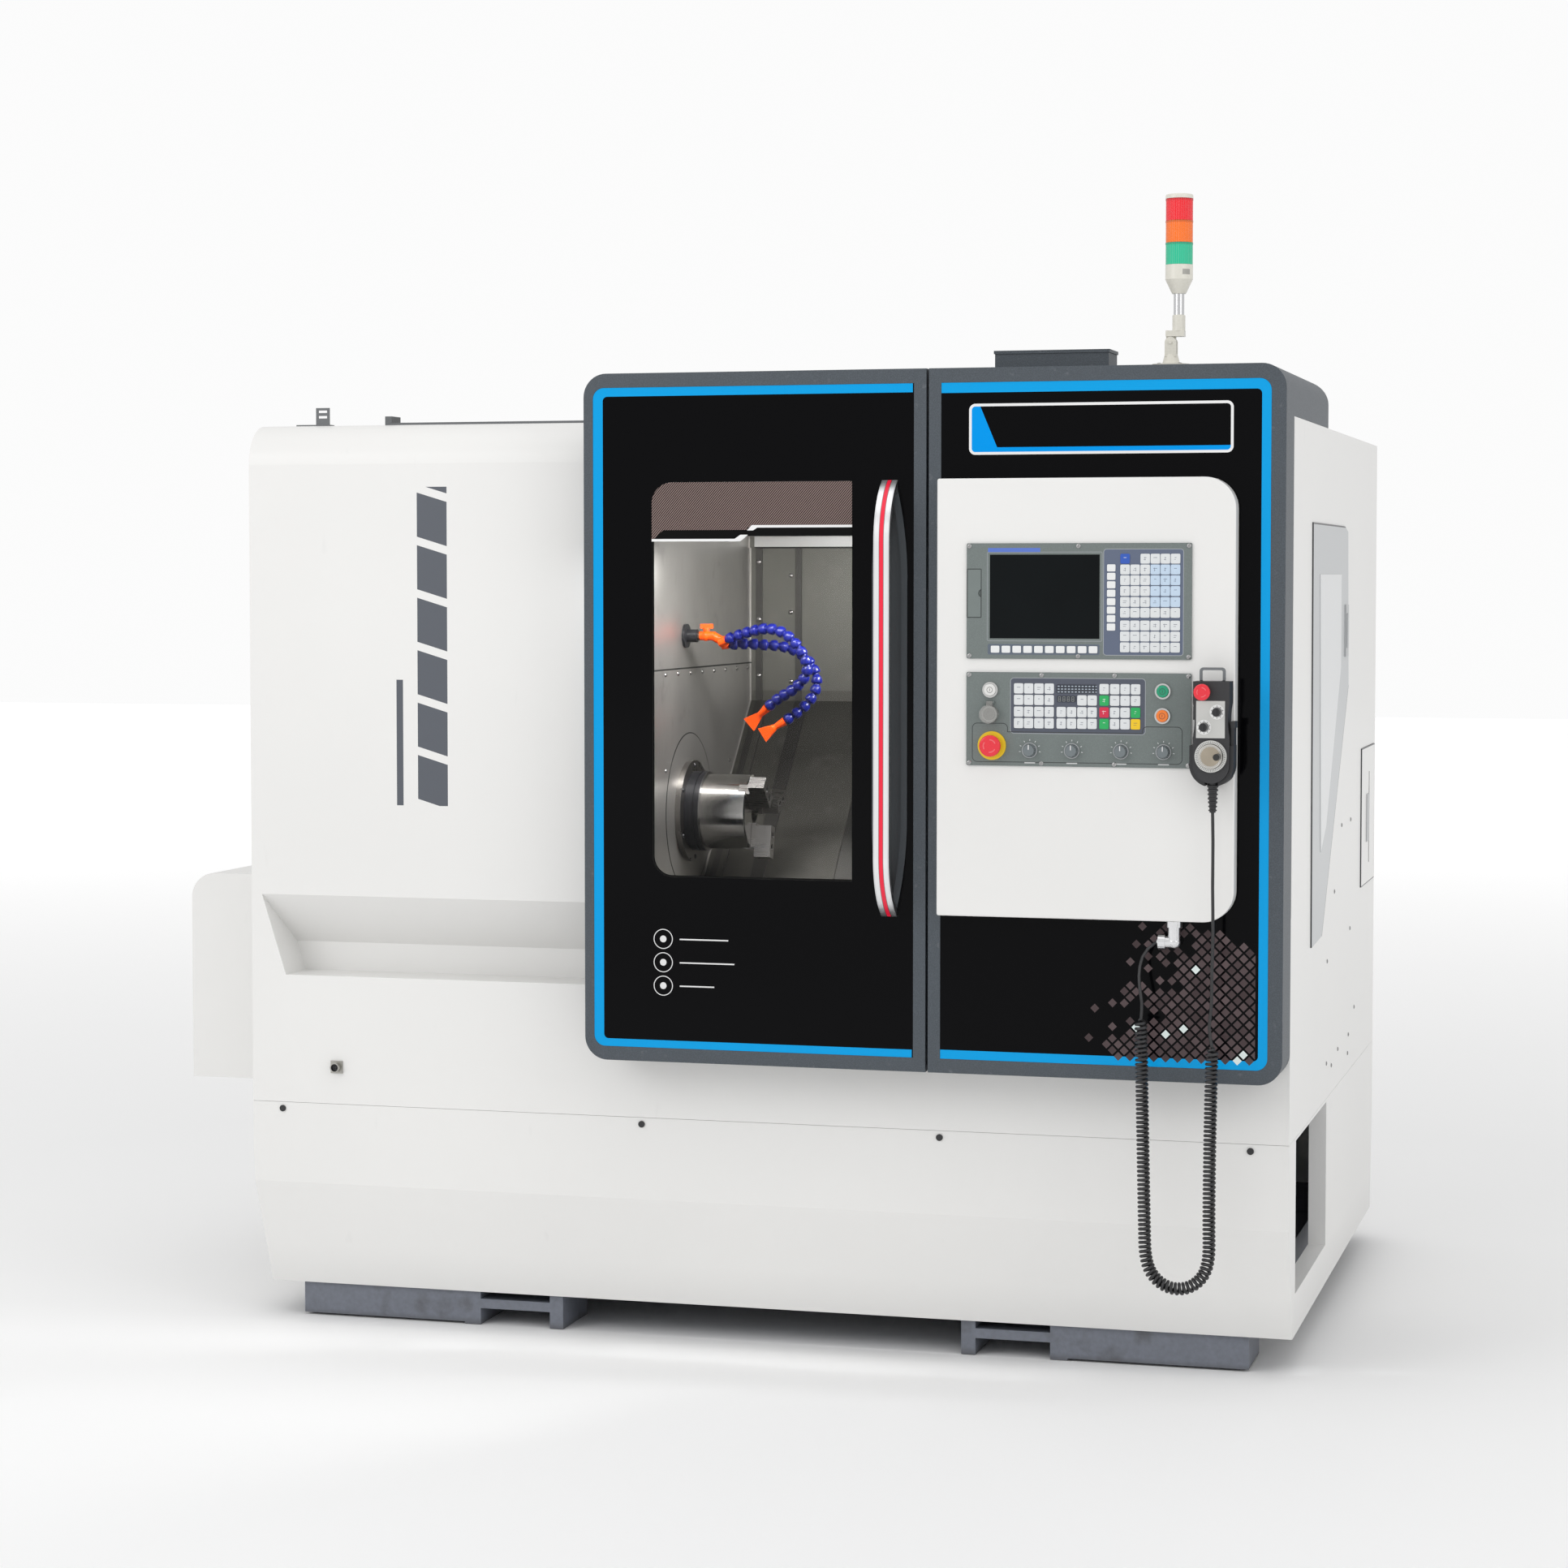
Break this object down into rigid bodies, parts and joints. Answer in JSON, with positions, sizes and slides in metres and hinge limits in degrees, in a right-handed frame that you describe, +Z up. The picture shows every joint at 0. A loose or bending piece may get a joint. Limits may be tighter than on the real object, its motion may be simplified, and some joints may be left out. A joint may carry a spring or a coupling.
{
  "type": "cnc turning lathe",
  "caption": "Enclosed slant-bed turning lathe with a sliding window door, a three-jaw chuck, a control screen, a hand pendant on a coiled cord and a folding signal tower.",
  "frame": {"origin": "middle of the bounding box on the floor", "axes": "+X to the right along the spindle axis, seen from the front; +Y from the door towards the rear; +Z up"},
  "size_m": [2.362, 1.767, 2.2108],
  "materials": {
    "enclosure_white": "satin off-white paint",
    "trim_grey": "dark grey textured paint",
    "foot_grey": "grey machine paint",
    "side_door_grey": "light grey paint",
    "gloss_black": "gloss black with a printed blue edge",
    "window_glass": "clear with a printed upper band",
    "pocket_grey": "moulded satin",
    "handle_silver": "satin with a red inlay",
    "rail_grey": "zinc-plated",
    "liner_steel": "satin stainless sheet",
    "flange_steel": "turned",
    "chuck_steel": "ground and turned",
    "jaw_steel": "blackened, ground edges",
    "screw_steel": "rolled",
    "slide_grey": "ground top faces",
    "valve_plastic": "orange with a black port",
    "lever_orange": "orange",
    "hose_blue": "segmented blue",
    "bezel_grey": "grey panel with printed and membrane keys",
    "screen_black": "unlit display",
    "button_white": "white cap",
    "button_grey": "grey key switch cap",
    "guard_clear": "clear cap",
    "button_green": "lens cap",
    "button_orange": "lens cap",
    "estop_red": "red mushroom head",
    "knob_grey": "pointer knob",
    "pendant_black": "moulded, with a silver plate",
    "wheel_silver": "turned dial",
    "enable_grey": "soft key",
    "cord_black": "coiled jacket",
    "gland_nickel": "nickel-plated elbow",
    "fitting_black": "plug and socket",
    "tower_cream": "cream mouldings with a silver pole",
    "tower_lens": "green, orange and red lenses"
  },
  "bodies": {
    "machine": {"base_skirt": "enclosure_white", "bed_casting": "foot_grey", "cnc_bezel": "bezel_grey", "cnc_screen": "screen_black", "control_pod": "enclosure_white", "coolant_fittings": "valve_plastic", "coolant_hoses": "hose_blue", "cord_coil": "cord_black", "cord_elbow": "gland_nickel", "cord_lead": "cord_black", "cord_tail": "cord_black", "door_rail": "rail_grey", "fittings": "fitting_black", "frame_panel": "gloss_black", "front_housing": "enclosure_white", "headstock": "foot_grey", "hood_shell": "trim_grey", "left_box": "enclosure_white", "operator_panel": "bezel_grey", "pendant_body": "pendant_black", "pendant_cradle": "pendant_black", "rear_housing": "enclosure_white", "tower_mount": "tower_cream", "work_liner": "liner_steel"},
    "door": {"door_frame": "trim_grey", "door_panel": "gloss_black", "door_window": "window_glass", "door_handle": "handle_silver", "handle_pocket": "pocket_grey"},
    "spindle": {"spindle_shaft": "flange_steel", "chuck_body": "chuck_steel"},
    "jaw_1": {"chuck_jaw_1": "jaw_steel"},
    "jaw_2": {"chuck_jaw_2": "jaw_steel"},
    "jaw_3": {"chuck_jaw_3": "jaw_steel"},
    "carriage": {"z_carriage": "liner_steel"},
    "slide": {"cross_slide": "slide_grey"},
    "feed_screw_z": {"z_screw": "screw_steel"},
    "feed_screw_x": {"x_screw": "screw_steel"},
    "flap": {"port_flap": "bezel_grey"},
    "power_key": {"power_button": "button_white"},
    "guarded_key": {"guard_button": "button_grey"},
    "guard": {"guard_cover": "guard_clear"},
    "start_key": {"start_button": "button_green"},
    "hold_key": {"hold_button": "button_orange"},
    "estop": {"estop_head": "estop_red"},
    "knob_1": {"dial_knob_1": "knob_grey"},
    "knob_2": {"dial_knob_2": "knob_grey"},
    "knob_3": {"dial_knob_3": "knob_grey"},
    "knob_4": {"dial_knob_4": "knob_grey"},
    "hand_estop": {"pendant_estop": "estop_red"},
    "hand_knob_1": {"pendant_knob_1": "pendant_black"},
    "hand_knob_2": {"pendant_knob_2": "pendant_black"},
    "handwheel": {"pendant_handwheel": "wheel_silver"},
    "enable_key": {"pendant_enable": "enable_grey"},
    "tower": {"tower_head": "tower_cream", "tower_lenses": "tower_lens"},
    "side_leaf": {"side_door": "side_door_grey"},
    "service_leaf": {"service_door": "side_door_grey"},
    "cabinet_leaf": {"cabinet_door": "enclosure_white"},
    "coolant_lever": {"valve_lever": "lever_orange"}
  },
  "joints": [
    {"name": "door_slide", "type": "slide", "parent": "machine", "child": "door", "axis": [-1, 0, 0], "range_m": [0, 0.56]},
    {"name": "spindle_turn", "type": "hinge", "parent": "machine", "child": "spindle", "pos_m": [0.006, -0.4015, 1.033], "axis": [1, 0, 0], "continuous": true},
    {"name": "jaw_1_grip", "type": "slide", "parent": "spindle", "child": "jaw_1", "axis": [0, 0.9563, 0.2924], "range_m": [-0.0025, 0.0025]},
    {"name": "jaw_2_grip", "type": "slide", "parent": "spindle", "child": "jaw_2", "axis": [0, -0.7314, 0.682], "range_m": [-0.0025, 0.0025]},
    {"name": "jaw_3_grip", "type": "slide", "parent": "spindle", "child": "jaw_3", "axis": [0, -0.225, -0.9744], "range_m": [-0.0025, 0.0025]},
    {"name": "z_feed", "type": "slide", "parent": "machine", "child": "carriage", "axis": [-1, 0, 0], "range_m": [0, 0.24]},
    {"name": "x_feed", "type": "slide", "parent": "carriage", "child": "slide", "axis": [0, -0.7071, -0.7071], "range_m": [-0.09, 0.09]},
    {"name": "z_screw_turn", "type": "hinge", "parent": "machine", "child": "feed_screw_z", "pos_m": [0.506, -0.23722, 0.83483], "axis": [1, 0, 0], "continuous": true},
    {"name": "x_screw_turn", "type": "hinge", "parent": "carriage", "child": "feed_screw_x", "pos_m": [0.636, -0.29662, 0.94372], "axis": [0, -0.7071, -0.7071], "continuous": true},
    {"name": "flap_hinge", "type": "hinge", "parent": "machine", "child": "flap", "pos_m": [0.5928, -0.7943, 1.47], "axis": [0, 0, -1], "range_deg": [0, 105]},
    {"name": "power_push", "type": "slide", "parent": "machine", "child": "power_key", "axis": [0, 1, 0], "range_m": [0, 0.003], "stiffness_N_per_m": 800},
    {"name": "guarded_push", "type": "slide", "parent": "machine", "child": "guarded_key", "axis": [0, 1, 0], "range_m": [0, 0.003], "stiffness_N_per_m": 800},
    {"name": "guard_hinge", "type": "hinge", "parent": "machine", "child": "guard", "pos_m": [0.6342, -0.7982, 1.2729], "axis": [-1, 0, 0], "range_deg": [0, 85]},
    {"name": "start_push", "type": "slide", "parent": "machine", "child": "start_key", "axis": [0, 1, 0], "range_m": [0, 0.003], "stiffness_N_per_m": 800},
    {"name": "hold_push", "type": "slide", "parent": "machine", "child": "hold_key", "axis": [0, 1, 0], "range_m": [0, 0.003], "stiffness_N_per_m": 800},
    {"name": "estop_push", "type": "slide", "parent": "machine", "child": "estop", "axis": [0, 1, 0], "range_m": [0, 0.004], "stiffness_N_per_m": 2500},
    {"name": "dial_1_turn", "type": "hinge", "parent": "machine", "child": "knob_1", "pos_m": [0.7096, -0.8015, 1.1848], "axis": [0, 1, 0], "range_deg": [-135, 135]},
    {"name": "dial_2_turn", "type": "hinge", "parent": "machine", "child": "knob_2", "pos_m": [0.7883, -0.8015, 1.1848], "axis": [0, 1, 0], "range_deg": [-135, 135]},
    {"name": "dial_3_turn", "type": "hinge", "parent": "machine", "child": "knob_3", "pos_m": [0.8796, -0.8015, 1.1848], "axis": [0, 1, 0], "range_deg": [-135, 135]},
    {"name": "dial_4_turn", "type": "hinge", "parent": "machine", "child": "knob_4", "pos_m": [0.958, -0.8015, 1.1848], "axis": [0, 1, 0], "range_deg": [-135, 135]},
    {"name": "hand_estop_push", "type": "slide", "parent": "machine", "child": "hand_estop", "axis": [0, 1, 0], "range_m": [0, 0.003], "stiffness_N_per_m": 1500},
    {"name": "hand_knob_1_turn", "type": "hinge", "parent": "machine", "child": "hand_knob_1", "pos_m": [1.0637, -0.8565, 1.261], "axis": [0, 1, 0], "range_deg": [-90, 90]},
    {"name": "hand_knob_2_turn", "type": "hinge", "parent": "machine", "child": "hand_knob_2", "pos_m": [1.0403, -0.8565, 1.2336], "axis": [0, 1, 0], "range_deg": [-90, 90]},
    {"name": "handwheel_turn", "type": "hinge", "parent": "machine", "child": "handwheel", "pos_m": [1.053, -0.8565, 1.181], "axis": [0, 1, 0], "continuous": true},
    {"name": "enable_push", "type": "slide", "parent": "machine", "child": "enable_key", "axis": [1, 0, 0], "range_m": [0, 0.002], "stiffness_N_per_m": 600},
    {"name": "tower_fold", "type": "hinge", "parent": "machine", "child": "tower", "pos_m": [0.946, -0.6565, 1.938], "axis": [0, -1, 0], "range_deg": [0, 90]},
    {"name": "side_door_hinge", "type": "hinge", "parent": "machine", "child": "side_leaf", "pos_m": [1.1755, -0.3545, 1.2], "axis": [0, 0, -1], "range_deg": [0, 110]},
    {"name": "service_door_hinge", "type": "hinge", "parent": "machine", "child": "service_leaf", "pos_m": [1.1755, 0.5715, 0.96], "axis": [0, 0, -1], "range_deg": [0, 110]},
    {"name": "cabinet_door_hinge", "type": "hinge", "parent": "machine", "child": "cabinet_leaf", "pos_m": [0.968, 0.875, 1.1], "axis": [0, 0, -1], "range_deg": [0, 110]},
    {"name": "valve_turn", "type": "hinge", "parent": "machine", "child": "coolant_lever", "pos_m": [-0.0245, -0.4265, 1.4], "axis": [0, 0, 1], "range_deg": [0, 90]}
  ],
  "couplings": [
    {"joint": "jaw_2_grip", "follows": "jaw_1_grip", "ratio": 1},
    {"joint": "jaw_3_grip", "follows": "jaw_1_grip", "ratio": 1},
    {"joint": "z_screw_turn", "follows": "z_feed", "rad_per_m": 628.32},
    {"joint": "x_screw_turn", "follows": "x_feed", "rad_per_m": 1256.6}
  ]
}
